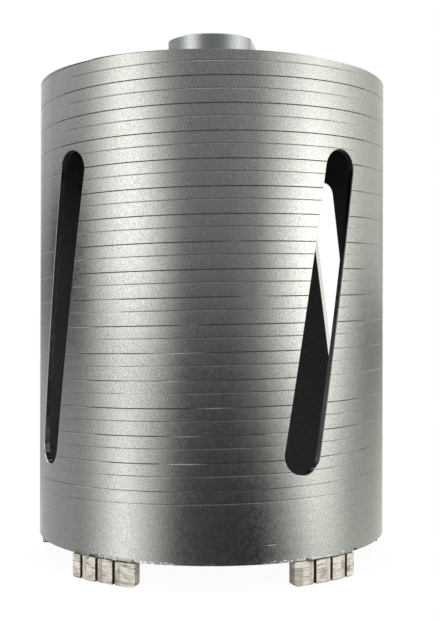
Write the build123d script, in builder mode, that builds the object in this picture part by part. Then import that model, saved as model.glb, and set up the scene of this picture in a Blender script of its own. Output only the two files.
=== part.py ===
"""Dry diamond core bit, 117 mm, with a female G 1/2 hub.

Millimetres.  The tool's axis is +Z and the origin lies on it, in the plane of
the cutting faces, so the bit stands on its five segments.  The slots' middles
lie on +X, +Y, -X and -Y.
"""

import os
from math import cos, degrees, radians, sin

from build123d import *

# Segments: sintered diamond blocks brazed to the lower end of the tube
CUTTING_DIAMETER = 117.0
SEGMENT_LENGTH = 24.0  # along the outer arc
SEGMENT_THICKNESS = 3.5  # radially
SEGMENT_HEIGHT = 7.0
SEGMENT_CORNER_RADIUS = 1.0
FIRST_SEGMENT_ANGLE = -88.65
SEGMENT_SPACING = 72.4  # placed by hand: the last gap comes out a little narrower
# Which way the grooves face: 1 puts a segment's narrow end at the lesser angle
SEGMENT_FACINGS = (-1, 1, -1, 1, 1)

# Upright grooves in a segment's outer face, counted from its narrow end
GROOVE_COUNT = 3
GROOVE_WIDTH = 0.8
GROOVE_DEPTH = 1.4
GROOVE_PITCH = 6.4
NARROW_LAND = 4.0  # from the segment's end to the first groove's middle
RELIEF_WIDTH = 2.0  # shallow step on the far side of each groove
RELIEF_DEPTH = 0.2

# Barrel tube and its extraction slots
TUBE_DIAMETER = 115.5
TUBE_WALL = 2.0
SLOT_COUNT = 4
SLOT_LENGTH = 98.0
SLOT_WIDTH = 12.0
SLOT_LEAN = 9.6  # degrees from upright, top towards the greater angle
SLOT_FOOT = 25.0  # from the tube's lower end to the slot's lower end

# Braze that joins each segment to the tube
BRAZE_LAYER = 0.1
BRAZE_RISE = 1.4  # how far it runs up each side of the tube's wall

# Crown plate, set inside the top of the tube
DRILLING_DEPTH = 150.0  # from the cutting faces to the plate's underside
CROWN_THICKNESS = 4.0
CROWN_RECESS = 1.5

# Hub with a G 1/2 parallel pipe thread, bored to its minor diameter
THREAD_MINOR_DIAMETER = 18.631
THREAD_MAJOR_DIAMETER = 20.955
HUB_DIAMETER = 31.0
HUB_ABOVE_RIM = 15.8
HUB_EDGE_CHAMFER = 0.3
HUB_ACROSS_FLATS = 28.0  # two flats for a spanner
HUB_FLAT_HEIGHT = 10.0
HUB_FLAT_ANGLE = -45.0
SPIGOT_DIAMETER = 25.0

# Weld beads
HUB_WELD_LEG = 3.0
CROWN_WELD_LEG = 2.5
BEAD_CROWN = 0.35  # how far a bead bulges beyond a flat fillet

TUBE_RADIUS = TUBE_DIAMETER / 2
TUBE_BORE_RADIUS = TUBE_RADIUS - TUBE_WALL
SEGMENT_OUTER_RADIUS = CUTTING_DIAMETER / 2
SEGMENT_INNER_RADIUS = SEGMENT_OUTER_RADIUS - SEGMENT_THICKNESS
SEGMENT_ARC = degrees(SEGMENT_LENGTH / SEGMENT_OUTER_RADIUS)

TUBE_BOTTOM = SEGMENT_HEIGHT + BRAZE_LAYER
CROWN_BOTTOM = DRILLING_DEPTH
CROWN_TOP = CROWN_BOTTOM + CROWN_THICKNESS
TUBE_TOP = CROWN_TOP + CROWN_RECESS
HUB_TOP = TUBE_TOP + HUB_ABOVE_RIM
HUB_RADIUS = HUB_DIAMETER / 2
SLOT_MIDDLE = (
    TUBE_BOTTOM
    + SLOT_FOOT
    + SLOT_WIDTH / 2
    + (SLOT_LENGTH - SLOT_WIDTH) / 2 * cos(radians(SLOT_LEAN))
)


def outward_plane(radius, angle):
    """Upright plane that faces outwards, its origin at a radius and an angle."""
    outwards = Vector(cos(radians(angle)), sin(radians(angle)), 0)
    sideways = Vector(-sin(radians(angle)), cos(radians(angle)), 0)
    return Plane(origin=outwards * radius, x_dir=sideways, z_dir=outwards)


def section_plane(angle):
    """Upright plane through the axis, its X axis pointing outwards and its Y axis up."""
    outwards = Vector(cos(radians(angle)), sin(radians(angle)), 0)
    across = Vector(sin(radians(angle)), -cos(radians(angle)), 0)
    return Plane(origin=(0, 0, 0), x_dir=outwards, z_dir=across)


def annular_sector(inner_radius, outer_radius, start, end, mode=Mode.ADD):
    """Face between two radii and two angles, for the sketch that is open."""
    with BuildLine() as outline:
        outer = CenterArc((0, 0), outer_radius, start, end - start)
        inner = CenterArc((0, 0), inner_radius, start, end - start)
        Line(inner @ 0, outer @ 0)
        Line(inner @ 1, outer @ 1)
    make_face(outline.edges(), mode=mode)


# --- Barrel tube -----------------------------------------------------------

# Each slot is cut straight through one wall, from outside the tube.
SLOT_CUT_START = TUBE_RADIUS + 1
SLOT_CUT_DEPTH = TUBE_WALL + 6

with BuildPart() as barrel_tube:
    with BuildSketch(Plane.XY.offset(TUBE_BOTTOM)):
        Circle(TUBE_RADIUS)
        Circle(TUBE_BORE_RADIUS, mode=Mode.SUBTRACT)
    extrude(amount=TUBE_TOP - TUBE_BOTTOM)
    for slot in range(SLOT_COUNT):
        with BuildSketch(outward_plane(SLOT_CUT_START, slot * 360 / SLOT_COUNT)):
            with Locations((0, SLOT_MIDDLE)):
                SlotOverall(SLOT_LENGTH, SLOT_WIDTH, rotation=90 - SLOT_LEAN)
        extrude(amount=-SLOT_CUT_DEPTH, mode=Mode.SUBTRACT)


# --- Crown plate -----------------------------------------------------------

with BuildPart() as crown_plate:
    with BuildSketch(Plane.XY.offset(CROWN_BOTTOM)):
        Circle(TUBE_BORE_RADIUS)
        Circle(SPIGOT_DIAMETER / 2, mode=Mode.SUBTRACT)
    extrude(amount=CROWN_THICKNESS)


# --- Threaded hub ----------------------------------------------------------

THREAD_MINOR_RADIUS = THREAD_MINOR_DIAMETER / 2
# The mouths are countersunk to the thread's major diameter.
MOUTH_CHAMFER = (THREAD_MAJOR_DIAMETER - THREAD_MINOR_DIAMETER) / 2

with BuildPart() as threaded_hub:
    with BuildSketch(Plane.XY.offset(CROWN_BOTTOM)):
        Circle(SPIGOT_DIAMETER / 2)
    extrude(amount=CROWN_THICKNESS)
    with BuildSketch(Plane.XY.offset(CROWN_TOP)):
        Circle(HUB_RADIUS)
    extrude(amount=HUB_TOP - CROWN_TOP)
    with BuildSketch(Plane.XY.offset(HUB_TOP)):
        Circle(HUB_RADIUS + 1)
        Rectangle(
            HUB_ACROSS_FLATS, HUB_DIAMETER + 4, rotation=HUB_FLAT_ANGLE, mode=Mode.SUBTRACT
        )
    extrude(amount=-HUB_FLAT_HEIGHT, mode=Mode.SUBTRACT)
    chamfer(threaded_hub.edges().group_by(Axis.Z)[-1], HUB_EDGE_CHAMFER)
    with BuildSketch(Plane.XY.offset(CROWN_BOTTOM)):
        Circle(THREAD_MINOR_RADIUS)
    extrude(amount=HUB_TOP - CROWN_BOTTOM, mode=Mode.SUBTRACT)
    mouths = threaded_hub.edges().filter_by(
        lambda edge: edge.geom_type == GeomType.CIRCLE
        and abs(edge.radius - THREAD_MINOR_RADIUS) < 0.01
    )
    chamfer(mouths, MOUTH_CHAMFER)


# --- Weld beads ------------------------------------------------------------


def weld_ring(corner_radius, leg, direction):
    """Full ring of fillet weld on the crown plate, against a wall at a radius.

    The bead reaches inwards from the wall when direction is -1, outwards when it is 1.
    """
    toe = (corner_radius + direction * leg, CROWN_TOP)
    rise = min(leg, TUBE_TOP - CROWN_TOP) if direction < 0 else leg
    top = (corner_radius, CROWN_TOP + rise)
    bulge = (
        corner_radius + direction * (leg / 2 + BEAD_CROWN / 2),
        CROWN_TOP + rise / 2 + BEAD_CROWN / 2,
    )
    with BuildPart() as ring:
        with BuildSketch(section_plane(0)):
            with BuildLine():
                Line((corner_radius, CROWN_TOP), toe)
                ThreePointArc(toe, bulge, top)
                Line(top, (corner_radius, CROWN_TOP))
            make_face()
        revolve(axis=Axis.Z)
    return ring


hub_weld = weld_ring(HUB_RADIUS, HUB_WELD_LEG, 1)
crown_weld = weld_ring(TUBE_BORE_RADIUS, CROWN_WELD_LEG, -1)


# --- Segments and their braze ----------------------------------------------


def arc_angle(length):
    """Angle that a length along the segments' outer arc takes."""
    return degrees(length / SEGMENT_OUTER_RADIUS)


def make_segment(angle, facing):
    """One segment about its own middle angle; facing is 1 or -1 and mirrors its grooves."""
    narrow_end = -facing * SEGMENT_ARC / 2
    with BuildPart() as segment:
        with BuildSketch(Plane.XY.rotated((0, 0, angle))):
            annular_sector(
                SEGMENT_INNER_RADIUS,
                SEGMENT_OUTER_RADIUS,
                -SEGMENT_ARC / 2,
                SEGMENT_ARC / 2,
            )
            for groove in range(GROOVE_COUNT):
                middle = narrow_end + facing * arc_angle(
                    NARROW_LAND + groove * GROOVE_PITCH
                )
                relief_end = middle + facing * arc_angle(RELIEF_WIDTH)
                annular_sector(
                    SEGMENT_OUTER_RADIUS - RELIEF_DEPTH,
                    SEGMENT_OUTER_RADIUS + 1,
                    min(middle, relief_end),
                    max(middle, relief_end),
                    mode=Mode.SUBTRACT,
                )
                with PolarLocations(SEGMENT_OUTER_RADIUS, 1, start_angle=middle):
                    Rectangle(2 * GROOVE_DEPTH, GROOVE_WIDTH, mode=Mode.SUBTRACT)
        extrude(amount=SEGMENT_HEIGHT)
        end_faces = segment.faces().filter_by(
            lambda face: face.area > 0.9 * SEGMENT_THICKNESS * SEGMENT_HEIGHT
            and face.geom_type == GeomType.PLANE
            and abs(face.normal_at().Z) < 0.01
        )
        lower_ends = [face.edges().sort_by(Axis.Z)[0] for face in end_faces]
        fillet(lower_ends, SEGMENT_CORNER_RADIUS)
    return segment


def make_braze(angle):
    """Braze under the tube's end, with a small fillet up each side of its wall."""
    layer_top = SEGMENT_HEIGHT + BRAZE_LAYER
    fillet_top = layer_top + BRAZE_RISE
    with BuildPart() as braze:
        with BuildSketch(section_plane(angle - SEGMENT_ARC / 2)):
            with BuildLine():
                Polyline(
                    (SEGMENT_INNER_RADIUS, SEGMENT_HEIGHT),
                    (SEGMENT_OUTER_RADIUS, SEGMENT_HEIGHT),
                    (SEGMENT_OUTER_RADIUS, layer_top),
                    (TUBE_RADIUS, fillet_top),
                    (TUBE_RADIUS, layer_top),
                    (TUBE_BORE_RADIUS, layer_top),
                    (TUBE_BORE_RADIUS, fillet_top),
                    (SEGMENT_INNER_RADIUS, layer_top),
                    close=True,
                )
            make_face()
        revolve(axis=Axis.Z, revolution_arc=SEGMENT_ARC)
    return braze


pieces = {
    "barrel_tube": barrel_tube,
    "crown_plate": crown_plate,
    "threaded_hub": threaded_hub,
    "hub_weld": hub_weld,
    "crown_weld": crown_weld,
}
for number, facing in enumerate(SEGMENT_FACINGS, start=1):
    middle_angle = FIRST_SEGMENT_ANGLE + (number - 1) * SEGMENT_SPACING
    pieces[f"segment_{number}"] = make_segment(middle_angle, facing)
    pieces[f"braze_{number}"] = make_braze(middle_angle)


# --- Files -----------------------------------------------------------------

os.makedirs("parts", exist_ok=True)
for name, piece in pieces.items():
    piece.part.label = name
    export_step(piece.part, f"parts/{name}.step")
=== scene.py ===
"""Looks of the dry diamond core bit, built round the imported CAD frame.

Lengths are in metres and angles in degrees unless a name says otherwise.  MM turns
millimetres into metres.  Angles about the tool's axis are counted from +X towards +Y.
"""

import math
from contextlib import contextmanager

import bmesh
import bpy
import numpy as np
from mathutils import Matrix, Vector, noise


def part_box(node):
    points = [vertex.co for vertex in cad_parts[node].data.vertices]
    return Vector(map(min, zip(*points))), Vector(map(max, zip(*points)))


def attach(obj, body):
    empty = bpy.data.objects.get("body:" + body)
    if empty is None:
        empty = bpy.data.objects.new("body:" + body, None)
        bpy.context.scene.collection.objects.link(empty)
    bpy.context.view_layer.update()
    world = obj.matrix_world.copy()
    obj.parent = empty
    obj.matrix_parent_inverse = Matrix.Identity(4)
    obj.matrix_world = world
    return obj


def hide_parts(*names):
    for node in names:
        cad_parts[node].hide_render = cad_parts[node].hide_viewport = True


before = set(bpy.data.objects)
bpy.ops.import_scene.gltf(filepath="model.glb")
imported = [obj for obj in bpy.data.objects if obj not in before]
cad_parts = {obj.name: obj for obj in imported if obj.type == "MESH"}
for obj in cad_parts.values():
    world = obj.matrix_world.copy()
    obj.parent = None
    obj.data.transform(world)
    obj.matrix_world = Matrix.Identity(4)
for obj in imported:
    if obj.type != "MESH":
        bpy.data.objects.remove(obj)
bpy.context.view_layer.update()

MM = 0.001
BODY = "root"
CAMERA_ANGLE = -125.0  # where the camera stands, about the tool's axis

# --- Sizes read from the frame ---

tube_low, tube_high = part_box("barrel_tube")
crown_low, crown_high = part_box("crown_plate")
hub_low, hub_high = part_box("threaded_hub")

TUBE_RADIUS = (tube_high.x - tube_low.x) / 2
TUBE_BOTTOM = tube_low.z
TUBE_TOP = tube_high.z
TUBE_WALL = 2 * MM
BORE_RADIUS = TUBE_RADIUS - TUBE_WALL
CROWN_BOTTOM = crown_low.z
CROWN_TOP = crown_high.z
HUB_RADIUS = (hub_high.x - hub_low.x) / 2
HUB_TOP = hub_high.z
HUB_WELD_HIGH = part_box("hub_weld")[1]
CROWN_WELD_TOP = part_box("crown_weld")[1].z
SEGMENT_NODES = sorted(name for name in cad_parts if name.startswith("segment_"))
BRAZE_NODES = sorted(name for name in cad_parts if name.startswith("braze_"))


# --- Mesh helpers ---

GROOVE_EDGE = 0.02  # a face with a corner marked above this belongs to a groove


def polar(angle, radius, height):
    """Point at an angle about the tool's axis."""
    turn = math.radians(angle)
    return Vector((radius * math.cos(turn), radius * math.sin(turn), height))


def smooth_step(value, low, high):
    """0 below low, 1 above high and a smooth rise between them; takes arrays too."""
    share = np.clip((value - low) / (high - low), 0, 1)
    return share * share * (3 - 2 * share)


def around(items):
    """Each item with the next one, and the last with the first."""
    return list(zip(items, items[1:] + items[:1]))


def linked(name, data):
    """Object in the scene that holds a mesh or a camera."""
    piece = bpy.data.objects.new(name, data)
    bpy.context.scene.collection.objects.link(piece)
    return piece


def object_from_bmesh(name, data):
    """Linked object that takes over a bmesh."""
    mesh = bpy.data.meshes.new(name)
    data.to_mesh(mesh)
    data.free()
    return linked(name, mesh)


def object_from_grid(name, points, faces):
    """Linked object from a list of points and a list of faces."""
    mesh = bpy.data.meshes.new(name)
    mesh.from_pydata([tuple(point) for point in points], [], faces)
    mesh.update()
    return linked(name, mesh)


@contextmanager
def editing(piece):
    """Bmesh of a piece, which is written back at the end."""
    data = bmesh.new()
    data.from_mesh(piece.data)
    yield data
    data.to_mesh(piece.data)
    data.free()


def apply_modifiers(piece):
    """Bakes a piece's modifiers into its mesh."""
    bpy.context.view_layer.update()
    graph = bpy.context.evaluated_depsgraph_get()
    mesh = bpy.data.meshes.new_from_object(piece.evaluated_get(graph))
    piece.modifiers.clear()
    piece.data = mesh


def drop_slivers(data, smallest=1e-7):
    """Closes up edges and faces of almost no size that a cut leaves in a bmesh."""
    bmesh.ops.dissolve_degenerate(data, dist=smallest, edges=data.edges[:])


def shade_by_angle(piece, angle, core_radius=0.0, core_angle=0.0, groove_layer=None):
    """Smooth shading with edges sharper than the angle kept crisp.

    Nearer the axis than core_radius, core_angle counts instead.  Where a vertex layer
    marks grooves, the edges along them are crisp too.
    """
    with editing(piece) as data:
        layer = data.verts.layers.float.get(groove_layer) if groove_layer else None
        for edge in data.edges:
            inside = math.hypot(*edge.verts[0].co.xy) < core_radius
            limit = math.radians(core_angle if inside else angle)
            edge.smooth = not (edge.is_manifold and edge.calc_face_angle() > limit)
            if layer and edge.is_manifold:
                first, second = (
                    max(vertex[layer] for vertex in face.verts) > GROOVE_EDGE
                    for face in edge.link_faces
                )
                edge.smooth = edge.smooth and first == second
        for face in data.faces:
            face.smooth = True


def lathe(name, profile, columns, shape=None):
    """Closed ring swept round the axis from a closed profile of (radius, height) points.

    shape(radius, height, angle) may move a point; it takes and returns arrays, with the
    angle in radians.  The faces look outwards whichever way the profile runs.
    """
    radius, height = np.array(profile, float).T
    area = np.sum(radius * np.roll(height, -1) - np.roll(radius, -1) * height)
    order = 1 if area > 0 else -1
    angle = np.arange(columns)[:, None] * 2 * math.pi / columns
    radius = np.broadcast_to(radius, (columns, len(profile)))
    height = np.broadcast_to(height, (columns, len(profile)))
    if shape:
        radius, height, angle = shape(radius, height, angle)
    points = np.stack([radius * np.cos(angle), radius * np.sin(angle), height], -1)
    count = len(profile)
    faces = []
    for column in range(columns):
        here, there = column * count, (column + 1) % columns * count
        for row in range(count):
            after = (row + 1) % count
            corners = (here + row, there + row, there + after, here + after)
            faces.append(corners[::order])
    return object_from_grid(name, points.reshape(-1, 3), faces)


def subdivided(points, spacing):
    """Closed profile with points added so that none are further apart than spacing."""
    result = []
    for start, end in around(points):
        steps = max(1, math.ceil(math.dist(start, end) / spacing))
        for step in range(steps):
            share = step / steps
            result.append(tuple(a + (b - a) * share for a, b in zip(start, end)))
    return result


# --- Node helpers ---

NOISE_RANGE = 0.3, 0.7  # where most of a noise's values lie


class Nodes:
    """Node tree of a material or a world with short ways to add and feed nodes."""

    def __init__(self, owner):
        owner.use_nodes = True
        self.tree = owner.node_tree
        self.tree.nodes.clear()

    def feed(self, socket, value):
        """Sets a socket to a constant, or links it to an output."""
        if isinstance(value, (int, float, tuple)):
            socket.default_value = value
        else:
            self.tree.links.new(value, socket)

    def add(self, kind, values=None, **settings):
        """New node with its settings, and values for sockets by name or number."""
        node = self.tree.nodes.new(f"ShaderNode{kind}")
        for name, value in settings.items():
            setattr(node, name, value)
        for name, value in (values or {}).items():
            self.feed(node.inputs[name], value)
        return node

    def math(self, operation, *values, kind="Math"):
        return self.add(kind, dict(enumerate(values)), operation=operation).outputs[0]

    def span(self, value, low, high, out_low=0.0, out_high=1.0):
        """Value stretched smoothly from one range to another, kept inside it."""
        values = {
            "Value": value, "From Min": low, "From Max": high,
            "To Min": out_low, "To Max": out_high,
        }
        node = self.add("MapRange", values, interpolation_type="SMOOTHSTEP")
        return node.outputs["Result"]

    def apart(self, value, middle):
        """How far a value is from a middle."""
        return self.math("ABSOLUTE", self.math("SUBTRACT", value, middle))

    def split(self, vector):
        """The x, y and z of a vector."""
        return tuple(self.add("SeparateXYZ", {0: vector}).outputs)

    def shade(self, kind, colour):
        """Output of a new shader of one colour."""
        return self.add(kind, {"Color": colour}).outputs[0]

    def choose(self, share, first, second):
        """Shader between two shaders."""
        return self.add("MixShader", {0: share, 1: first, 2: second}).outputs[0]


class MaterialNodes(Nodes):
    """New material round one Principled shader."""

    def __init__(self, name, metallic):
        self.material = bpy.data.materials.new(name)
        super().__init__(self.material)
        self.shader = self.add("BsdfPrincipled", {"Metallic": metallic})
        self.add("OutputMaterial", {"Surface": self.shader.outputs[0]})
        self.place = self.add("TexCoord").outputs["Object"]

    def noise(self, scale, detail=2.0, roughness=0.5, stretch=None):
        """Noise in object coordinates, which may be multiplied by a vector first."""
        place = self.place
        if stretch:
            place = self.math("MULTIPLY", place, stretch, kind="VectorMath")
        values = {"Vector": place, "Scale": scale, "Detail": detail, "Roughness": roughness}
        return self.add("TexNoise", values).outputs["Fac"]

    def attribute(self, name):
        return self.add("Attribute", attribute_name=name).outputs["Fac"]

    def mix(self, share, first, second):
        """Colour between two colours."""
        first, second = (
            (*colour, 1.0) if isinstance(colour, tuple) else colour
            for colour in (first, second)
        )
        values = {"Factor": share, 6: first, 7: second}
        return self.add("Mix", values, data_type="RGBA").outputs[2]

    def tone(self, source, dark, light):
        """Colour that follows the middle of a noise's range."""
        return self.mix(self.span(source, *NOISE_RANGE), dark, light)

    def colour(self, source):
        self.feed(self.shader.inputs["Base Color"], source)

    def roughness(self, source, low, high, least=0.0):
        """Roughness that follows a noise but is nowhere under another value."""
        rough = self.span(source, *NOISE_RANGE, low, high)
        if least:
            rough = self.math("MAXIMUM", rough, least)
        self.feed(self.shader.inputs["Roughness"], rough)

    def bump(self, height, distance, strength):
        values = {"Height": height, "Distance": distance, "Strength": strength}
        self.feed(self.shader.inputs["Normal"], self.add("Bump", values).outputs[0])


# --- Barrel: tube with helical scribed lines and four leaning slots ---

SCRIBE_PITCH = 7.965 * MM
# A point near the strong helix's lower end, and how far under it the faint one runs
STRONG_LINE_ANGLE = CAMERA_ANGLE - 27.0
STRONG_LINE_HEIGHT = 27.85 * MM
FAINT_LINE_DROP = 3.71 * MM
STRONG_WIDTH, STRONG_DEPTH = 0.32 * MM, 0.12 * MM
FAINT_WIDTH, FAINT_DEPTH = 0.40 * MM, 0.035 * MM
LAND_CROWN = 0.012 * MM  # how far the surface bulges between two lines
PATCHY_HEIGHTS = 60 * MM, 105 * MM  # from here up the lines fade less and less
BARREL_COLUMNS = 320
BARREL_SMOOTH_ANGLE = 8.5
BOOLEAN_SLIVER = 2e-6  # size of what the slots' cutting leaves over
UPPER_CHAMFER = 0.35 * MM
LOWER_CHAMFER = 0.12 * MM

SLOT_COUNT = 4
SLOT_LENGTH = 98 * MM
SLOT_WIDTH = 12 * MM
SLOT_LEAN = 9.6
SLOT_FOOT = 25 * MM
SLOT_EDGE_CHAMFER = 0.2 * MM
SLOT_MIDDLE = (
    TUBE_BOTTOM
    + SLOT_FOOT
    + SLOT_WIDTH / 2
    + (SLOT_LENGTH - SLOT_WIDTH) / 2 * math.cos(math.radians(SLOT_LEAN))
)


def scribe_rows():
    """One pitch of the barrel's rows: (offset up, depth, painted shade in the groove)."""
    faint = SCRIBE_PITCH - FAINT_LINE_DROP
    strong_edge, faint_edge = STRONG_WIDTH / 2, FAINT_WIDTH / 2
    return [
        (-strong_edge, 0.0, 0),
        (-STRONG_WIDTH / 6, STRONG_DEPTH, 1),
        (STRONG_WIDTH / 6, STRONG_DEPTH, 1),
        (strong_edge, 0.0, 0),
        ((strong_edge + faint - faint_edge) / 2, -LAND_CROWN, 0),
        (faint - faint_edge, 0.0, 0),
        (faint, FAINT_DEPTH, 0.8),
        (faint + faint_edge, 0.0, 0),
        ((faint + faint_edge + SCRIBE_PITCH - strong_edge) / 2, -LAND_CROWN, 0),
    ]


def line_openness(angle, strong_height, height, faint):
    """How open a scribed line is at an angle, 0 to 1, which also sets its painted shade.

    A faint line belongs to the strong one above it, which is at strong_height.
    """
    # The strong line starts a little under that point, and the faint one with it.
    lowest = STRONG_LINE_HEIGHT - SCRIBE_PITCH * 0.3
    started = smooth_step(strong_height, lowest, lowest + SCRIBE_PITCH * 0.1)
    # Towards the sides the lines are shallower, with less painted shade; the faint one
    # vanishes.
    facing = abs(math.cos(math.radians(angle - CAMERA_ANGLE)))
    if faint:
        unfilled = smooth_step(facing, 0.58, 0.78)
    else:
        unfilled = 0.4 + 0.6 * smooth_step(facing, 0.3, 0.75)
    patchy = 0.4 + 1.3 * (1 - smooth_step(height, *PATCHY_HEIGHTS))
    stretch = noise.noise(Vector((angle * 0.055, strong_height * 160, 7.0)))
    return started * unfilled * min(1.0, max(0.25, 1.0 + patchy * (stretch - 0.02)))


def outer_skin():
    """Bmesh of the barrel's outside: rows that follow the helix, cut off at both rims."""
    rows = scribe_rows()
    turns = math.ceil((TUBE_TOP - TUBE_BOTTOM) / SCRIBE_PITCH) + 3
    start = STRONG_LINE_HEIGHT - SCRIBE_PITCH * (
        2 + math.ceil((STRONG_LINE_HEIGHT - TUBE_BOTTOM) / SCRIBE_PITCH)
    )
    skin = bmesh.new()
    # This layer holds the painted shade of the scribed lines.
    scribe_shade_layer = skin.verts.layers.float.new("scribe_shade")
    columns = []
    for column in range(BARREL_COLUMNS):
        share = column / BARREL_COLUMNS
        angle = STRONG_LINE_ANGLE + 360 * share
        line = []
        for turn in range(turns + 1):
            centre = start + SCRIBE_PITCH * (turn + share)
            # How strongly the painted shade shows wanders along the lines.
            scribe_shade_wander = noise.noise(Vector((angle * 0.35, centre * 700, 3.0)))
            for offset, depth, cut in rows:
                strong = centre + (SCRIBE_PITCH if offset > STRONG_WIDTH else 0)
                shown = line_openness(angle, strong, centre, depth == FAINT_DEPTH)
                radius = TUBE_RADIUS - (depth * shown if cut else depth)
                vertex = skin.verts.new(polar(angle, radius, centre + offset))
                vertex[scribe_shade_layer] = float(cut * shown * min(1.0, 0.9 + 0.35 * scribe_shade_wander))
                line.append(vertex)
        columns.append(line)
    for column, (here, there) in enumerate(around(columns)):
        # The helix comes back to the first column one turn higher.
        shift = len(rows) if column == BARREL_COLUMNS - 1 else 0
        for row in range(len(here) - 1 - shift):
            skin.faces.new(
                (here[row], there[row + shift], there[row + 1 + shift], here[row + 1])
            )
    rims = (TUBE_TOP - UPPER_CHAMFER, 1), (TUBE_BOTTOM + LOWER_CHAMFER, -1)
    for height, side in rims:
        bmesh.ops.bisect_plane(
            skin,
            geom=skin.verts[:] + skin.edges[:] + skin.faces[:],
            plane_co=(0, 0, height),
            plane_no=(0, 0, side),
            clear_outer=True,
        )
        drop_slivers(skin)
    return skin


def close_rim(skin, height, side, chamfer):
    """Chamfers one rim of the outer skin and fills the ring in to the bore's edge."""
    level = height - side * chamfer
    rim = [
        edge
        for edge in skin.edges
        if edge.is_boundary
        and all(abs(vertex.co.z - level) < 1e-7 for vertex in edge.verts)
    ]
    grown = bmesh.ops.extrude_edge_only(skin, edges=rim)["geom"]
    for item in grown:
        if isinstance(item, bmesh.types.BMVert):
            flat = Vector((item.co.x, item.co.y, 0)).normalized()
            item.co = flat * (TUBE_RADIUS - chamfer) + Vector((0, 0, height))
    outer_edges = [
        edge for edge in grown if isinstance(edge, bmesh.types.BMEdge) and edge.is_boundary
    ]
    bore = [
        skin.verts.new(polar(360 * step / BARREL_COLUMNS, BORE_RADIUS, height))
        for step in range(BARREL_COLUMNS)
    ]
    bore_edges = [skin.edges.new(pair) for pair in around(bore)]
    bmesh.ops.triangle_fill(
        skin, edges=outer_edges + bore_edges, use_beauty=True, normal=(0, 0, side)
    )
    return bore


def slot_outline(grow, arc_steps=24, straight_steps=40):
    """Points of a leaning slot's outline, as (sideways, up) from its middle."""
    lean = math.radians(SLOT_LEAN)
    along = Vector((math.sin(lean), math.cos(lean)))
    across = Vector((math.cos(lean), -math.sin(lean)))
    half = (SLOT_LENGTH - SLOT_WIDTH) / 2
    radius = SLOT_WIDTH / 2 + grow
    points = []
    for end in (1, -1):
        for step in range(arc_steps + 1):
            turn = math.pi * step / arc_steps
            points.append(
                along * end * (half + radius * math.sin(turn))
                + across * end * radius * math.cos(turn)
            )
        corner = points[-1]
        for step in range(1, straight_steps):
            points.append(corner - along * end * 2 * half * step / straight_steps)
    return points


def make_slot_cutter(angle):
    """Closed prism with flared ends that leaves a slot with broken edges."""
    flare = SLOT_EDGE_CHAMFER
    rings = (
        (BORE_RADIUS - 4 * MM, flare),
        (BORE_RADIUS, flare),
        (BORE_RADIUS + flare, 0.0),
        (TUBE_RADIUS - flare, 0.0),
        (TUBE_RADIUS, flare),
        (TUBE_RADIUS + 1.5 * MM, flare),
    )
    cutter = bmesh.new()
    turn = Matrix.Rotation(math.radians(angle), 4, "Z")
    loops = []
    for depth, grow in rings:
        loop = []
        for sideways, up in slot_outline(grow):
            outwards = math.sqrt(depth**2 - sideways**2)
            place = Vector((outwards, sideways, SLOT_MIDDLE + up))
            loop.append(cutter.verts.new(turn @ place))
        loops.append(loop)
    for inner, outer in zip(loops, loops[1:]):
        for (near, near_next), (far, far_next) in zip(around(inner), around(outer)):
            cutter.faces.new((near, near_next, far_next, far))
    for loop in (loops[0], loops[-1]):
        middle = cutter.verts.new(sum((v.co for v in loop), Vector()) / len(loop))
        for pair in around(loop):
            cutter.faces.new((*pair, middle))
    bmesh.ops.recalc_face_normals(cutter, faces=cutter.faces[:])
    return object_from_bmesh(f"slot_cutter_{angle:.0f}", cutter)


def make_barrel():
    skin = outer_skin()
    lower = close_rim(skin, TUBE_BOTTOM, -1, LOWER_CHAMFER)
    upper = close_rim(skin, TUBE_TOP, 1, UPPER_CHAMFER)
    for (low, next_low), (high, next_high) in zip(around(lower), around(upper)):
        skin.faces.new((low, high, next_high, next_low))
    bmesh.ops.recalc_face_normals(skin, faces=skin.faces[:])
    barrel = object_from_bmesh("slotted_barrel", skin)
    for slot in range(SLOT_COUNT):
        cutter = make_slot_cutter(360 * slot / SLOT_COUNT)
        cut = barrel.modifiers.new("slot", "BOOLEAN")
        cut.operation = "DIFFERENCE"
        cut.solver = "MANIFOLD"
        cut.object = cutter
        apply_modifiers(barrel)
        bpy.data.objects.remove(cutter)
    with editing(barrel) as data:
        drop_slivers(data, BOOLEAN_SLIVER)
    shade_by_angle(barrel, BARREL_SMOOTH_ANGLE, groove_layer="scribe_shade")
    return barrel


# --- Hub with spanner flats and an internal pipe thread ---

THREAD_MINOR_RADIUS = 18.631 / 2 * MM
THREAD_MAJOR_RADIUS = 20.955 / 2 * MM
THREAD_PITCH = 1.814 * MM
SPIGOT_RADIUS = 12.5 * MM
COUNTERSINK_RADIUS = THREAD_MAJOR_RADIUS + 0.1 * MM
THREAD_FLANK = 0.14, 0.86  # where a flank starts and ends, from root to crest
HUB_COLUMNS = 180
HUB_SMOOTH_ANGLE, THREAD_SMOOTH_ANGLE = 18, 50
EDGE_BREAK = 0.3 * MM
FLAT_HALF = 14 * MM  # from the axis to a spanner flat
FLAT_FOOT = HUB_TOP - 10 * MM
FLAT_ANGLE = -45.0
FLAT_STEP = 0.25 * MM  # rounding at the foot of a flat


def thread_radius(height, angle):
    """Wall radius of the internal thread: rounded 55 degree flanks."""
    phase = (height / THREAD_PITCH - angle / (2 * math.pi)) % 1.0
    rise = smooth_step(np.abs(phase - 0.5) * 2, *THREAD_FLANK)
    return THREAD_MINOR_RADIUS + (THREAD_MAJOR_RADIUS - THREAD_MINOR_RADIUS) * rise


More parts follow.
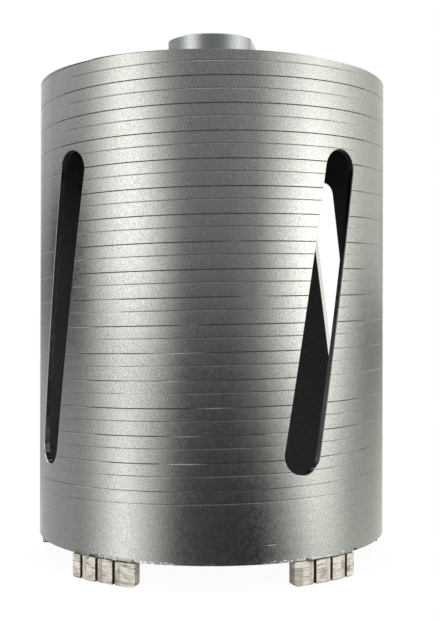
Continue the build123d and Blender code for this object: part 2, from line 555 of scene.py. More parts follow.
def hub_shape(radius, height, angle):
    """Cuts the thread into the bore's wall and the flats into the outside."""
    bore = np.abs(radius - THREAD_MINOR_RADIUS) < 0.01 * MM
    into_top = COUNTERSINK_RADIUS - (HUB_TOP - height)
    into_bottom = COUNTERSINK_RADIUS - (height - CROWN_BOTTOM)
    wall = np.maximum(thread_radius(height, angle), np.maximum(into_top, into_bottom))
    # Columns are shifted a little so that one stands on each edge of a flat.
    corner = math.degrees(math.acos(FLAT_HALF / HUB_RADIUS))
    column = 2 * round(corner / 2)
    from_flat = (np.degrees(angle) - FLAT_ANGLE + 90) % 180 - 90
    moved = np.interp(from_flat, (-90, -column, column, 90), (-90, -corner, corner, 90))
    angle = angle + np.radians(moved - from_flat)
    flat = FLAT_HALF / np.maximum(np.cos(np.radians(moved)), 0.1) - (HUB_RADIUS - radius)
    foot = smooth_step(height, FLAT_FOOT - FLAT_STEP, FLAT_FOOT + FLAT_STEP)
    cut = radius + (np.minimum(flat, radius) - radius) * foot
    outer = radius > SPIGOT_RADIUS + 1 * MM
    return np.where(bore, wall, np.where(outer, cut, radius)), height, angle


def make_hub():
    corners = [
        (THREAD_MINOR_RADIUS, CROWN_BOTTOM),
        (SPIGOT_RADIUS, CROWN_BOTTOM),
        (SPIGOT_RADIUS, CROWN_TOP),
        (HUB_RADIUS, CROWN_TOP),
    ]
    corners += [(HUB_RADIUS, FLAT_FOOT + FLAT_STEP * step / 3) for step in range(-3, 4)]
    corners += [
        (HUB_RADIUS, HUB_TOP - EDGE_BREAK),
        (HUB_RADIUS - 0.18 * EDGE_BREAK, HUB_TOP - 0.45 * EDGE_BREAK),
        (HUB_RADIUS - 0.45 * EDGE_BREAK, HUB_TOP - 0.18 * EDGE_BREAK),
        (HUB_RADIUS - EDGE_BREAK, HUB_TOP),
        (THREAD_MINOR_RADIUS, HUB_TOP),
    ]
    outside = subdivided(corners, 3 * MM)
    bore_start = outside.index((THREAD_MINOR_RADIUS, HUB_TOP))
    steps = round((HUB_TOP - CROWN_BOTTOM) / (THREAD_PITCH / 12))
    bore = [
        (THREAD_MINOR_RADIUS, HUB_TOP + (CROWN_BOTTOM - HUB_TOP) * step / steps)
        for step in range(steps)
    ]
    hub = lathe("hub_with_thread", outside[:bore_start] + bore, HUB_COLUMNS, hub_shape)
    core_radius = THREAD_MAJOR_RADIUS + 0.2 * MM
    shade_by_angle(hub, HUB_SMOOTH_ANGLE, core_radius, THREAD_SMOOTH_ANGLE)
    return hub


# --- Weld beads ---

WELD_SMOOTH_ANGLE = 60
WELD_WAVE = 0.15 * MM  # how far a bead's width wanders
WELD_SEAT = 0.02 * MM  # how far a bead reaches into the crown plate
CROWN_WELD_LEG = 2.5 * MM


def ripple(angle, lean, count):
    """Overlapping scales of a weld bead, 0 to 1, across an angle in radians."""
    wander = 0.35 * np.sin(angle * 5 + 1.3) + 0.25 * np.sin(angle * 11 + 0.4)
    phase = (angle * count / (2 * math.pi) + lean + wander) % 1.0
    return np.sqrt(phase)


def weld_ring(name, corner, toe, top, bulge, scales, scale_height, columns):
    """Fillet weld round the axis.  corner, toe and top are (radius, height)."""
    steps = 10
    shares = [step / steps for step in range(steps + 1)]
    out = Vector((toe[0] - corner[0], top[1] - corner[1])).normalized()
    profile = [corner]
    for share in shares:
        lift = math.sin(math.pi * share) * bulge
        radius = toe[0] + (top[0] - toe[0]) * share + out.x * lift
        height = toe[1] + (top[1] - toe[1]) * share + out.y * lift
        profile.append((radius, height))
    share = np.array([0.0] + shares)
    free = np.array([0.0] + [math.sin(math.pi * share) for share in shares])

    def shape(radius, height, angle):
        scale = ripple(angle, 0.9 * np.sin(math.pi * share), scales)
        lift = (scale - 0.6) * scale_height * free
        lift = (lift + WELD_WAVE * np.sin(angle * 7 + 0.5) * free) * 0.7
        return radius + np.sign(toe[0] - corner[0]) * lift, height + lift, angle

    bead = lathe(name, profile, columns, shape)
    shade_by_angle(bead, WELD_SMOOTH_ANGLE)
    return bead


# --- Segments ---

SEGMENT_VOXEL = 0.15 * MM
# The rest of this section is in millimetres.
SEGMENT_OUTER = 58.5
SEGMENT_INNER = 55.0
SEGMENT_HALF = 12.0
SEGMENT_TALL = 7.0
# Which way each segment faces: 1 has its narrow end at the lesser angle
SEGMENT_FACINGS = (-1, 1, -1, 1, 1)
GROOVES = (4.0, 10.4, 16.8)  # from the narrow end
GROOVE_HALF = 0.4
# The grooves' painted shade lies from here outwards.
GROOVE_FLOOR = SEGMENT_OUTER - 1.7, SEGMENT_OUTER - 1.5  # dark from here outwards
RELIEF_END = 2.4  # from the groove's middle to the far side of the shallow step
RELIEF_RADIUS = 58.1  # the shallow step's floor lies further out than this
FACE_RADIUS = 58.3  # and the outer face further out than this
END_BAND = 11.55, 11.9  # how far from the middle an end face's colour sets in
FAR_OFF = 99.0  # stands for a groove that isn't there
PRESS_LINE = 5.0  # height of the seam across the widest block
BROWN_LAND = 21.4  # the widest block is browner beyond this, under the seam


def vertex_rows(piece, name):
    """Places or normals of a piece's vertices, one to a row."""
    values = np.zeros(len(piece.data.vertices) * 3)
    piece.data.vertices.foreach_get(name, values)
    return values.reshape(-1, 3)


def node_angle(name):
    """Middle angle of a node about the axis."""
    middle = vertex_rows(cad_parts[name], "co").mean(0)
    return math.degrees(math.atan2(middle[1], middle[0]))


def along_arc(place, middle_angle):
    """How far along the outer arc each place is from a middle angle."""
    angle = np.arctan2(place[:, 1], place[:, 0]) - math.radians(middle_angle)
    return ((angle + math.pi) % (2 * math.pi) - math.pi) * SEGMENT_OUTER


def noise_field(*coordinates):
    """Noise at each point of three arrays of coordinates, about -1 to 1."""
    points = np.stack(np.broadcast_arrays(*coordinates), -1)
    return np.array([noise.noise(Vector(point)) for point in points])


def set_attribute(piece, name, values):
    layer = piece.data.attributes.new(name, "FLOAT", "POINT")
    layer.data.foreach_set("value", np.asarray(values, float))


def segment_marks(land, radius, height, number):
    """Painted groove shade, streak, stain with some painted shade, and warmth of each
    point, 0 to 1.
    """
    seed = number * 7.3
    block = np.digitize(land, GROOVES)
    behind = land - np.array((-FAR_OFF, *GROOVES))[block]
    ahead = np.array((*GROOVES, FAR_OFF))[block] - land
    near = np.minimum(behind, ahead)
    # Painted shade: the groove's walls and floor are darkened, up to just under the face.
    groove = 1 - smooth_step(near, GROOVE_HALF, GROOVE_HALF + 0.18)
    groove = groove * (1 - smooth_step(radius, SEGMENT_OUTER - 0.22, SEGMENT_OUTER - 0.04))
    groove = groove * smooth_step(radius, *GROOVE_FLOOR)
    stepped = radius > RELIEF_RADIUS
    relief = (1 - smooth_step(behind, RELIEF_END - 0.1, RELIEF_END + 0.1)) * stepped
    # Thin streaks lie along the arc and differ from block to block.
    level = height + 0.02 * land
    fine = noise_field(land * 0.07 + block * 9, level * 1.5, seed)
    finer = noise_field(land * 0.12 + block * 5, level * 3.6, -seed)
    gate = noise_field(land * 0.3 + seed, level * 0.9, 4)
    streak = (1 - smooth_step(np.abs(fine), 0.02, 0.10)) * smooth_step(gate, -0.45, 0.1)
    streak = np.maximum(streak, 0.5 * smooth_step(finer, 0.22, 0.36))
    upright = noise_field(land * 3.2, level * 0.12, seed)
    streak = np.where(relief > 0.5, 0.6 * smooth_step(upright, 0.12, 0.34), streak)
    # The step's far edge is a fine dark line.
    line = 1 - smooth_step(np.abs(behind - RELIEF_END), 0.06, 0.2)
    streak = np.maximum(streak, line * 0.8 * stepped * (block > 0))
    cloud = noise_field(land * 0.34, height * 0.42, seed * 2)
    patch = noise_field(land * 0.9, height * 1.1, radius * 0.8 + seed)
    stain_and_shade = 0.55 * smooth_step(cloud, 0.05, 0.45) + 0.45 * smooth_step(patch, 0.18, 0.5)
    foot = 1 - smooth_step(height + 0.35 * patch, 0.12, 0.5)
    stain_and_shade = np.maximum(stain_and_shade, 0.75 * foot * smooth_step(gate, -0.3, 0.1))
    end_stain, end_warmth = 0.5, 0.2
    if number == 1:
        end_stain, end_warmth = 0.3, 0.6
        widest = (block == 3) & (relief < 0.5)
        seam = 1 - smooth_step(np.abs(height - PRESS_LINE - 0.01 * land), 0.05, 0.16)
        streak = np.where(widest, np.maximum(streak * 0.7, seam), streak)
        brown = smooth_step(land + 0.3 * cloud, BROWN_LAND - 0.4, BROWN_LAND + 0.5)
        under = 1 - smooth_step(height, PRESS_LINE - 0.1, PRESS_LINE)
        stain_and_shade = np.where(widest, np.maximum(stain_and_shade * 0.3, 0.8 * brown * under), stain_and_shade)
    face = smooth_step(radius, SEGMENT_INNER + 0.4, SEGMENT_OUTER - 0.4)
    ends = smooth_step(np.abs(land - SEGMENT_HALF), *END_BAND) * (radius <= FACE_RADIUS)
    streak = streak * (0.4 + 0.6 * face)
    # Flux residue and painted shade darken the ledge under the braze, here and there over
    # its edge.
    flux_and_shade = smooth_step(height + 0.22 * patch, SEGMENT_TALL - 0.22, SEGMENT_TALL - 0.06)
    groove = np.maximum(groove, 0.8 * flux_and_shade * smooth_step(gate + cloud, -0.5, -0.1))
    # The shallow step is painted darker and browner: painted shade of the recess.
    stain_and_shade = np.clip(stain_and_shade + end_stain * ends + 0.3 * relief, 0, 1)
    warmth = 0.5 + 0.9 * noise_field(land * 0.22, height * 0.3, radius + seed)
    warmth = np.clip(warmth + 0.35 * relief + end_warmth * ends, 0, 1)
    return groove, streak, stain_and_shade, warmth


def make_segment(node):
    """The CAD segment with worn edges, pressed-in streaks and pits in its surface."""
    number = int(node.split("_")[1])
    piece = linked(f"diamond_{node}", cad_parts[node].data.copy())
    piece.data.materials.clear()
    remesh = piece.modifiers.new("voxels", "REMESH")
    remesh.mode = "VOXEL"
    remesh.voxel_size = SEGMENT_VOXEL
    apply_modifiers(piece)
    place = vertex_rows(piece, "co") / MM
    radius, height = np.hypot(place[:, 0], place[:, 1]), place[:, 2]
    along = along_arc(place, node_angle(node))
    land = SEGMENT_HALF + along * SEGMENT_FACINGS[number - 1]
    marks = segment_marks(land, radius, height, number)
    for name, values in zip(("groove", "streak", "stain_and_shade", "warmth"), marks):
        set_attribute(piece, name, values)
    pits = noise_field(land * 1.7, radius * 1.7, height * 1.7 + number * 5)
    rough = noise_field(land * 5, radius * 5, height * 5 + number)
    lift = -0.06 * marks[1] - 0.16 * np.maximum(0.0, pits - 0.28) + 0.025 * rough - 0.02
    # The cutting face stays flat, and so does the seat under the braze.
    above_foot = smooth_step(height, 0.02, 0.3)
    below_seat = 1 - smooth_step(height, 6.7, 6.98)
    lift = np.minimum(lift, 0.0) * above_foot * below_seat - 0.005
    moved = (place + vertex_rows(piece, "normal") * lift[:, None]) * MM
    moved[:, 2] = np.where(height < 0.03, height * MM, moved[:, 2])
    piece.data.vertices.foreach_set("co", moved.ravel())
    for polygon in piece.data.polygons:
        polygon.use_smooth = True
    piece.data.update()
    return piece


# --- Brazes: painted-over fillets with a ragged foot ---

BRAZE_STEP = 0.12
BRAZE_RISE = 1.4
BRAZE_LEDGE = SEGMENT_OUTER - TUBE_RADIUS / MM
# A fillet's section: (share of the rise, outward offset from the tube's wall)
BRAZE_SECTION = (
    (1.0, 0.0), (0.86, 0.03), (0.72, 0.055), (0.58, 0.08), (0.45, 0.11), (0.34, 0.15),
    (0.24, 0.21), (0.16, 0.30), (0.10, 0.42), (0.05, 0.57), (0.015, 0.69), (0.0, 0.70),
)
BRAZE_REACH = BRAZE_SECTION[-1][1]
BRAZE_SEAT = 0.02  # how far a bead reaches into its segment
BRAZE_INTO_WALL = 0.3, 0.15  # how far one reaches up into the wall, and from its sides
BRAZE_SMOOTH_ANGLE = 70
# Places along a segment's outer edge, by segment: drops of braze as (place, half
# width, height, size) and dark stretches, flux with painted shade, as (from, to, height)
BRAZE_DROPS = {
    1: ((-6.7, 0.75, 0.55, 0.40), (7.9, 0.7, 0.6, 0.25), (1.2, 0.5, 0.3, 0.16)),
    5: ((-0.9, 0.8, 0.75, 0.50), (0.5, 0.55, 0.45, 0.34), (10.4, 0.6, 0.5, 0.18)),
}
BRAZE_DARK_STRETCHES = {
    1: ((-13.4, -7.7, 0.32), (-5.1, 0.4, 0.30), (0.7, 6.6, 0.20), (9.4, 12.0, 0.15)),
    5: (
        (-12.2, -8.7, 0.34), (-5.3, -2.3, 0.80), (1.4, 4.2, 0.34), (5.2, 9.4, 0.34),
        (9.9, 10.6, 0.3), (11.4, 13.0, 0.42),
    ),
}
# For the other brazes, what the four numbers of a drop lie between
DROP_RANGES = (-11, 11), (0.4, 0.9), (0.3, 0.8), (0.15, 0.45)


def random_braze_places(number):
    """Drops and dark stretches for a braze that has no set of its own."""
    random = np.random.default_rng(40 + number)
    drops = [[random.uniform(*limits) for limits in DROP_RANGES] for _ in range(4)]
    starts = np.sort(random.uniform(-12, 10, 4))
    dark_stretches = [
        (start, start + random.uniform(1.5, 4.5), random.uniform(0.2, 0.6))
        for start in starts
    ]
    return drops, dark_stretches


def make_braze(node):
    """Closed swept bead: ragged fillets outside and inside the tube's wall."""
    number = int(node.split("_")[1])
    middle = node_angle(node)
    drops, dark_stretches = random_braze_places(number)
    drops, dark_stretches = BRAZE_DROPS.get(number, drops), BRAZE_DARK_STRETCHES.get(number, dark_stretches)
    steps = round(2 * SEGMENT_HALF / BRAZE_STEP)
    bottom = SEGMENT_TALL - BRAZE_SEAT
    outside, inside = TUBE_RADIUS / MM, BORE_RADIUS / MM
    up_in, side_in = BRAZE_INTO_WALL
    top = TUBE_BOTTOM / MM + up_in
    points, dark = [], []
    for step in range(steps + 1):
        along = -SEGMENT_HALF + 2 * SEGMENT_HALF * step / steps
        fade = smooth_step(SEGMENT_HALF - abs(along), 0.0, 0.5)
        ring = []
        for side, wall in ((1, outside), (-1, inside)):
            wave = noise.noise(Vector((along * 0.55, side * 9, number * 3)))
            wobble = noise.noise(Vector((along * 2.1, side * 5, number * 3)))
            rise = BRAZE_RISE * np.clip(0.8 + 0.5 * wave + 0.22 * wobble, 0.35, 1.0)
            rise = 0.2 + (rise - 0.2) * fade
            reach = BRAZE_LEDGE * np.clip(0.34 + 0.3 * wobble + 0.25 * wave, 0.15, 0.8)
            section = []
            for share, offset in BRAZE_SECTION:
                height = share * rise
                push = offset / BRAZE_REACH * reach
                for place, half, level, size in drops:
                    near = ((along - place) / half) ** 2 + ((height - level) / 0.45) ** 2
                    push += size * math.exp(-near)
                push = min(push, BRAZE_LEDGE * 0.96) * (0.25 + 0.75 * fade)
                # Flux and painted shade darken the bead's foot, higher in the dark
                # stretches.
                foot_flux_and_shade = 0.9 * (1 - smooth_step(height, 0.10, 0.30 + 0.16 * wobble))
                for start, end, tall in dark_stretches:
                    within = smooth_step(along, start, start + 0.25)
                    within *= 1 - smooth_step(along, end - 0.25, end)
                    ragged = tall * (1 + 0.6 * wobble)
                    within *= 1 - smooth_step(height, ragged * 0.75, ragged * 1.1)
                    foot_flux_and_shade = max(foot_flux_and_shade, within)
                section.append((wall + side * push, bottom + height, foot_flux_and_shade))
            ring += section if side > 0 else section[::-1]
        # The ring runs down the outside, under the wall and up the inside.
        ring += [(inside + side_in, top, 0.0), (outside - side_in, top, 0.0)]
        for radius, height, foot_flux_and_shade in ring:
            angle = middle + math.degrees(along / SEGMENT_OUTER)
            points.append(polar(angle, radius * MM, height * MM))
            dark.append(foot_flux_and_shade)
    count = len(points) // (steps + 1)
    faces = [tuple(range(count)), tuple(steps * count + i for i in reversed(range(count)))]
    for step in range(steps):
        here, there = step * count, (step + 1) * count
        for row in range(count):
            after = (row + 1) % count
            faces.append((here + row, here + after, there + after, there + row))
    bead = object_from_grid(f"bead_{node}", points, faces)
    with editing(bead) as data:
        bmesh.ops.recalc_face_normals(data, faces=data.faces[:])
    set_attribute(bead, "dark", dark)
    shade_by_angle(bead, BRAZE_SMOOTH_ANGLE)
    return bead


# --- Assembly: every piece rides on the frame's one body ---

barrel = make_barrel()
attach(barrel, BODY)
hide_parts("barrel_tube")

hub = make_hub()
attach(hub, BODY)
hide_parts("threaded_hub")

hub_weld = weld_ring(
    "hub_weld_bead",
    corner=(HUB_RADIUS - 0.05 * MM, CROWN_TOP - WELD_SEAT),
    toe=(HUB_WELD_HIGH.x, CROWN_TOP),
    top=(HUB_RADIUS, HUB_WELD_HIGH.z),
    bulge=0.3 * MM,
    scales=64,
    scale_height=0.35 * MM,
    columns=768,
)
crown_weld = weld_ring(
    "crown_weld_bead",
    corner=(BORE_RADIUS, CROWN_TOP - WELD_SEAT),
    toe=(BORE_RADIUS - CROWN_WELD_LEG, CROWN_TOP),
    top=(BORE_RADIUS, CROWN_WELD_TOP - 0.1 * MM),
    bulge=0.25 * MM,
    scales=230,
    scale_height=0.25 * MM,
    columns=1840,
)
welds = [hub_weld, crown_weld]
for bead, node in zip(welds, ("hub_weld", "crown_weld")):
    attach(bead, BODY)
    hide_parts(node)

segments = []
for node in SEGMENT_NODES:
    segment = make_segment(node)
    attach(segment, BODY)
    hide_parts(node)
    segments.append(segment)

brazes = []
for node in BRAZE_NODES:
    braze = make_braze(node)
    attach(braze, BODY)
    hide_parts(node)
    brazes.append(braze)


# --- Materials ---

# Marks in the coat: (angle from the camera, height in mm, half width in degrees, half
# height in mm, colour)
COAT_MARKS = (
    (17.4, 12.92, 1.45, 0.11, (0.06, 0.06, 0.06)),
    (17.5, 12.63, 1.30, 0.13, (0.95, 0.95, 0.93)),
    (49.8, 7.5, 0.9, 0.34, (0.03, 0.03, 0.03)),
    (-11.2, 7.45, 0.45, 0.18, (0.95, 0.95, 0.93)),
    (-13.0, 7.75, 0.4, 0.14, (0.95, 0.95, 0.93)),
    (18.6, 7.9, 0.55, 0.14, (0.92, 0.92, 0.90)),
    (21.9, 7.85, 0.45, 0.16, (0.95, 0.95, 0.93)),
)
# Stretches of the lower rim with many chips: from and to, as angles from the camera
CHIPPED = ((-21.1, -16.5), (-15.0, -10.8), (-1.9, 1.3), (14.6, 18.9), (19.8, 26.0))
CHIPPED_HEIGHTS = TUBE_BOTTOM + 0.35 * MM, TUBE_BOTTOM + 0.9 * MM


def crown_material():
    """The silver coat on the crown's top, painted darker than the barrel's as painted
    shade.
    """
    nodes = MaterialNodes("darkened_top_coat", 0.8)
    grain = nodes.noise(2600, 3, 0.6)
    cloud = nodes.span(nodes.noise(90), *NOISE_RANGE)
    # Darker than the barrel's coat: painted shade that keeps the upward top from turning
    # white.
    silver = nodes.tone(grain, (0.15, 0.15, 0.148), (0.26, 0.26, 0.257))
    dusty = nodes.math("MULTIPLY", cloud, 0.5)
    nodes.colour(nodes.mix(dusty, silver, (0.13, 0.128, 0.12)))
    nodes.roughness(grain, 0.42, 0.56)
    nodes.bump(grain, 0.012 * MM, 0.8)
    return nodes.material


def coat_material():
    """Silver coat: metal flake grain over shot-blasted steel, with painted shade in the
    scribed lines.
    """
    nodes = MaterialNodes("silver_coat", 1.0)
    grain = nodes.noise(3600, 2, 0.65)
    silver = nodes.tone(grain, (0.215, 0.215, 0.213), (0.385, 0.385, 0.382))
    x, y, z = nodes.split(nodes.place)
    angle = nodes.math("ARCTAN2", y, x)

    def beside(place):
        """How far the surface is from an angle from the camera, in radians."""
        return nodes.apart(angle, math.radians(CAMERA_ANGLE + place))

    # Wear along the lower rim: small chips show bright steel.
    chips = nodes.noise(1300, 3, 0.7, (1, 1, 1.6))
    for start, end in CHIPPED:
        reach = math.radians((end - start) / 2)
        more = nodes.span(beside((start + end) / 2), reach * 0.8, reach * 1.1, 0.16, 0.0)
        chips = nodes.math("ADD", chips, more)
    near_rim = nodes.span(z, *CHIPPED_HEIGHTS, 1.0, 0.0)
    chips = nodes.math("MULTIPLY", nodes.span(chips, 0.62, 0.70), near_rim)
    silver = nodes.mix(chips, silver, (0.75, 0.75, 0.73))
    for place, height, half, tall, colour in COAT_MARKS:
        half, tall = math.radians(half), tall * MM
        across = nodes.span(beside(place), half * 0.8, half * 1.1, 1.0, 0.0)
        level = nodes.span(nodes.apart(z, height * MM), tall * 0.7, tall * 1.2, 1.0, 0.0)
        silver = nodes.mix(nodes.math("MULTIPLY", across, level), silver, colour)
    # Painted shade: the scribed lines turn near black.
    scribe_shade = nodes.attribute("scribe_shade")
    nodes.colour(nodes.mix(scribe_shade, silver, (0.068, 0.066, 0.062)))
    nodes.roughness(nodes.noise(900), 0.20, 0.27, nodes.span(scribe_shade, 0.0, 0.8, 0.2, 0.6))
    nodes.bump(grain, 0.008 * MM, 0.9)
    return nodes.material


def braze_material():
    """The silver coat on the brazes, darker as painted shade, with flux and painted shade
    at the foot.
    """
    nodes = MaterialNodes("coated_braze", 1.0)
    grain = nodes.noise(3000, 3, 0.6)
    # Darker than on the barrel: painted shade on the sloping fillets.
    silver = nodes.tone(grain, (0.17, 0.17, 0.168), (0.31, 0.31, 0.307))
    # Near black at the foot: flux with painted shade.
    nodes.colour(nodes.mix(nodes.attribute("dark"), silver, (0.035, 0.033, 0.026)))
    nodes.roughness(grain, 0.22, 0.30)
    nodes.bump(grain, 0.012 * MM, 0.8)
    return nodes.material


def inside_material(name, dark, light):
    """Scale inside the tube, and painted shade on the faces under the slots' upper ends."""
    nodes = MaterialNodes(name, 0.3)
    grain = nodes.noise(700, 3, 0.6)
    nodes.colour(nodes.tone(grain, dark, light))
    nodes.roughness(grain, 0.5, 0.7)
    nodes.bump(grain, 0.05 * MM, 0.5)
    return nodes.material


def steel_material():
    """Turned steel with fine rings round the axis."""
    nodes = MaterialNodes("turned_steel", 1.0)
    rings = nodes.noise(1.0, 1, 0.5, (12, 12, 2200))
    speck = nodes.noise(2600, 2, 0.6)
    nodes.colour(nodes.tone(speck, (0.215, 0.225, 0.232), (0.285, 0.296, 0.303)))
    nodes.roughness(rings, 0.22, 0.28)
    nodes.bump(rings, 0.003 * MM, 0.5)
    return nodes.material


def weld_material():
    """Sooty weld metal."""
    nodes = MaterialNodes("weld_metal", 1.0)
    soot = nodes.noise(400, 3, 0.6)
    sooty = nodes.span(soot, 0.35, 0.65)
    nodes.colour(nodes.mix(sooty, (0.2, 0.195, 0.19), (0.3, 0.3, 0.295)))
    nodes.roughness(soot, 0.3, 0.5)
    nodes.bump(nodes.noise(1500), 0.03 * MM, 0.6)
    return nodes.material


def matrix_material():
    """Pale sintered metal: dark striations, brown stains, painted shade in recesses and
    under the braze.
    """
    nodes = MaterialNodes("sintered_matrix", 0.1)
    grain = nodes.noise(2600, 3, 0.65)
    pale = nodes.mix(nodes.attribute("warmth"), (0.75, 0.735, 0.64), (0.82, 0.73, 0.675))
    grey = nodes.mix(nodes.span(grain, 0.25, 0.75), (0.44, 0.41, 0.36), (0.88, 0.85, 0.78))
    body = nodes.mix(nodes.span(grain, *NOISE_RANGE, 0.0, 0.55), pale, grey)
    brown = nodes.tone(grain, (0.30, 0.25, 0.20), (0.48, 0.42, 0.36))
    # Brown stains, with painted shade on the shallow steps.
    body = nodes.mix(nodes.attribute("stain_and_shade"), body, brown)
    streak = nodes.math("MULTIPLY", nodes.attribute("streak"), 0.8)
    body = nodes.mix(streak, body, (0.11, 0.09, 0.07))
    # Near black: painted shade in the grooves, and flux with painted shade under the braze.
    nodes.colour(nodes.mix(nodes.attribute("groove"), body, (0.035, 0.028, 0.02)))
    nodes.roughness(grain, 0.45, 0.65)
    nodes.bump(nodes.noise(4500), 0.02 * MM, 0.6)
    return nodes.material


COATED, BORE, SLOT_END = range(3)  # the barrel's materials, in the order given below
INWARDS = -0.5  # outward part of a bore face's normal is less than this
OVERHEAD = -0.3  # upward part of a slot end's normal is less than this


def barrel_surface(polygon):
    """Which of the barrel's materials a face has."""
    centre, normal = polygon.center, polygon.normal
    radius = math.hypot(centre.x, centre.y)
    outwards = normal.x * centre.x + normal.y * centre.y
    if outwards < INWARDS * radius and radius < BORE_RADIUS + 0.3 * MM:
        return BORE
    between_rims = TUBE_BOTTOM + SLOT_FOOT < centre.z < TUBE_TOP - 5 * MM
    # Faces that look down under a slot's upper end get the painted shade.
    if normal.z < OVERHEAD and between_rims and radius < TUBE_RADIUS - 0.05 * MM:
        return SLOT_END
    return COATED


barrel.data.materials.clear()
for material in (
    coat_material(),
    inside_material("dark_bore", (0.085, 0.095, 0.096), (0.13, 0.143, 0.14)),
    # Near black: painted shade on the downward faces under the slots' upper ends.
    inside_material("shaded_slot_end", (0.02, 0.023, 0.023), (0.034, 0.038, 0.037)),
):
    barrel.data.materials.append(material)
for polygon in barrel.data.polygons:
    polygon.material_index = barrel_surface(polygon)
hub.data.materials.append(steel_material())
for material, pieces in (
    (weld_material(), welds), (matrix_material(), segments), (braze_material(), brazes)
):
    for piece in pieces:
        piece.data.materials.append(material)
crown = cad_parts["crown_plate"]
crown.material_slots[0].material = crown_material()


# --- Camera ---

FRAME_HEIGHT_PX = 621
FOCAL_PX = 1041.6
SENSOR = 36.0
CAMERA_DISTANCE = 356.0 * MM
CAMERA_HEIGHT = 79.8 * MM
CAMERA_PAN = 0.450  # to the right
CAMERA_TILT = 0.110  # up
CAMERA_ROLL = 0.14  # anticlockwise


def turned(first, second, angle):
    """Two axes at right angles turned in their plane, the first towards the second."""
    along, aside = math.cos(math.radians(angle)), math.sin(math.radians(angle))
    return first * along + second * aside, second * along - first * aside


def place_camera():
    data = bpy.data.cameras.new("camera")
    camera = linked("camera", data)
    bpy.context.scene.camera = camera
    data.sensor_width = SENSOR
    data.lens = FOCAL_PX * SENSOR / FRAME_HEIGHT_PX
    data.clip_start, data.clip_end = 0.01, 50
    forward = -polar(CAMERA_ANGLE, 1, 0)
    up = Vector((0, 0, 1))
    right = forward.cross(up)
    forward, right = turned(forward, right, CAMERA_PAN)
    forward, up = turned(forward, up, CAMERA_TILT)
    right, up = turned(right, up, CAMERA_ROLL)
    turn = Matrix((right, up, -forward)).transposed().to_4x4()
    place = polar(CAMERA_ANGLE, CAMERA_DISTANCE, CAMERA_HEIGHT)
    camera.matrix_world = Matrix.Translation(place) @ turn


place_camera()


# --- Studio ---

WHITE = (1.0, 1.0, 1.0, 1.0)
WARM = (1.0, 0.995, 0.945)
YELLOW = (0.985, 1.0, 0.90)
PLAIN = (0.975, 0.99, 0.99)
COOL = (0.975, 0.99, 0.985)
# Soft boxes round the object, by the angle from the camera towards its right hand, as
# (middle, half width, softness, lowest and highest sine of elevation, softness of
# those, brightness, tint).  The last one takes light away from the first one's top.
STUDIO_BOXES = (
    (-55, 19, 43, -0.02, 0.42, 0.07, 3.50, WARM),
    (-58, 8, 67, -0.38, -0.07, 0.04, 4.31, WARM),
    (66, 20, 73, -0.01, 0.39, 0.28, 3.02, WARM),
    (67, 16, 45, -0.23, 0.14, 0.08, 2.10, WARM),
    (-14, 37, 5, -0.01, 0.44, 0.04, 0.38, PLAIN),
    (-34, 38, 74, -0.60, -0.06, 0.06, 0.14, PLAIN),
    (-108, 25, 25, 0.11, 0.61, 0.06, 0.84, PLAIN),
    (-123, 35, 34, -0.50, -0.04, 0.18, 0.75, COOL),
    (114, 32, 75, 0.03, 0.48, 0.11, 1.25, YELLOW),
    (122, 56, 37, -0.66, -0.10, 0.51, 1.20, YELLOW),
    (172, 24, 37, 0.16, 0.50, 0.30, 0.66, YELLOW),
    (-165, 31, 17, 0.08, 0.50, 0.43, 0.82, PLAIN),
    (181, 14, 12, -0.50, 0.05, 0.34, 2.20, YELLOW),
    (-168, 12, 20, -0.50, -0.21, 0.21, 1.26, COOL),
    (-40, 13, 20, 0.18, 0.60, 0.12, -1.00, PLAIN),
)
# Light that depends on the sine of the elevation only: (none at, full at, brightness).
# A ring of light overhead has a dim middle, and the pale floor lights from below.
STUDIO_LEVELS = (
    (-0.35, 0.15, 0.054),
    (0.46, 0.60, 2.6),
    (0.76, 0.90, -2.2),
    (-0.66, -0.84, 0.8),
)
STUDIO_DIM = 0.005
# The white backdrop that the camera sees behind the object: half width in degrees and
# half height as a sine
BACKDROP_HALF, BACKDROP_TALL = 13.0, 0.30


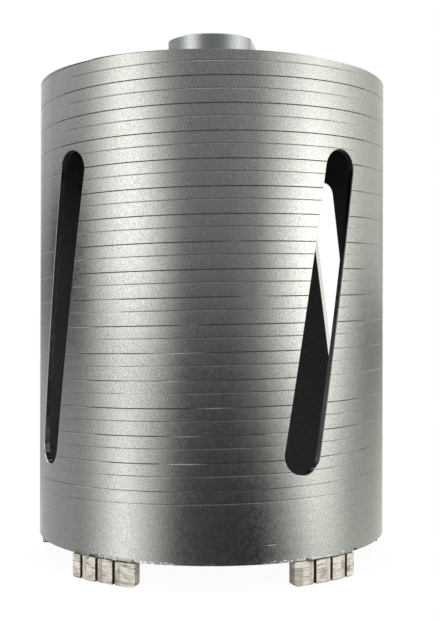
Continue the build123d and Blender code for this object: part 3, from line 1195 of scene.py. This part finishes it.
def build_world():
    world = bpy.data.worlds.new("studio")
    bpy.context.scene.world = world
    nodes = Nodes(world)
    place = nodes.add("TexCoord").outputs["Generated"]
    values = {"Vector": place, "Angle": -math.radians(CAMERA_ANGLE)}
    turned_place = nodes.add("VectorRotate", values, rotation_type="Z_AXIS").outputs[0]
    x, y, elevation = nodes.split(turned_place)
    angle = nodes.math("ARCTAN2", y, x)

    def away(middle):
        """How far a direction is from a middle angle in degrees, in radians."""
        offset = nodes.math("SUBTRACT", angle, math.radians(middle))
        return nodes.math("ABSOLUTE", nodes.math("WRAP", offset, math.pi, -math.pi))

    def add_light(total, share, tint, brightness):
        light = tuple(channel * brightness for channel in tint)
        return nodes.math("MULTIPLY_ADD", share, light, total, kind="VectorMath")

    total = tuple(channel * STUDIO_DIM for channel in PLAIN)
    for none_at, full_at, brightness in STUDIO_LEVELS:
        total = add_light(total, nodes.span(elevation, none_at, full_at), PLAIN, brightness)
    for middle, half, soft, lowest, highest, edge_soft, brightness, tint in STUDIO_BOXES:
        edge = math.radians(half - soft / 2), math.radians(half + soft / 2)
        beside = nodes.span(away(middle), *edge)
        reach = (highest - lowest) / 2
        up = nodes.apart(elevation, (highest + lowest) / 2)
        past = nodes.span(up, reach - edge_soft / 2, reach + edge_soft / 2)
        share = nodes.math("SUBTRACT", 1.0, nodes.math("MAXIMUM", beside, past))
        total = add_light(total, share, tint, brightness)
    ray = nodes.add("LightPath").outputs
    beside = nodes.math("LESS_THAN", away(180), math.radians(BACKDROP_HALF))
    level = nodes.math("LESS_THAN", nodes.math("ABSOLUTE", elevation), BACKDROP_TALL)
    behind = nodes.math("MULTIPLY", beside, level)
    mirrored = nodes.math("MULTIPLY", ray["Is Glossy Ray"], behind)
    seen = nodes.math("MAXIMUM", ray["Is Camera Ray"], ray["Is Transmission Ray"])
    surface = nodes.choose(
        nodes.math("MAXIMUM", seen, mirrored),
        nodes.shade("Background", total),
        nodes.shade("Background", WHITE),
    )
    nodes.add("OutputWorld", {"Surface": surface})


build_world()

FLOOR_RADIUS = 4.0
FLOOR_DROP = 0.05 * MM
PAPER_GLOW = 0.95  # how far the pale floor near the object is white of itself
FLOOR_NEAR, FLOOR_FAR = 0.05, 0.30  # where it starts and ends turning into pure white
MIRROR_NEAR, MIRROR_FAR = 0.060, 0.075  # how far out polished metal shows the floor
PAPER = (0.9, 0.9, 0.9, 1)
DIM_PAPER = (0.3, 0.3, 0.3, 1)  # what the floor is for the light that it scatters


def build_floor():
    data = bmesh.new()
    bmesh.ops.create_circle(data, cap_ends=True, segments=96, radius=FLOOR_RADIUS)
    floor = object_from_bmesh("floor", data)
    floor.location.z = -FLOOR_DROP
    material = bpy.data.materials.new("pale_floor")
    floor.data.materials.append(material)
    nodes = Nodes(material)
    x, y, _ = nodes.split(nodes.add("TexCoord").outputs["Object"])
    reach = nodes.math("MULTIPLY", x, x)
    reach = nodes.math("SQRT", nodes.math("MULTIPLY_ADD", y, y, reach))
    paper = nodes.shade("BsdfDiffuse", PAPER)
    fade = nodes.span(reach, FLOOR_NEAR, FLOOR_FAR, PAPER_GLOW, 1.0)
    seen = nodes.choose(fade, paper, nodes.shade("Emission", WHITE))
    ray = nodes.add("LightPath").outputs
    straight = nodes.math("MAXIMUM", ray["Is Camera Ray"], ray["Is Transmission Ray"])
    dim = nodes.shade("BsdfDiffuse", DIM_PAPER)
    surface = nodes.choose(straight, dim, seen)
    clear = nodes.span(reach, MIRROR_NEAR, MIRROR_FAR)
    mirrored = nodes.choose(clear, paper, nodes.shade("BsdfTransparent", WHITE))
    surface = nodes.choose(ray["Is Glossy Ray"], surface, mirrored)
    nodes.add("OutputMaterial", {"Surface": surface})


build_floor()

bpy.context.scene.view_settings.view_transform = "Standard"
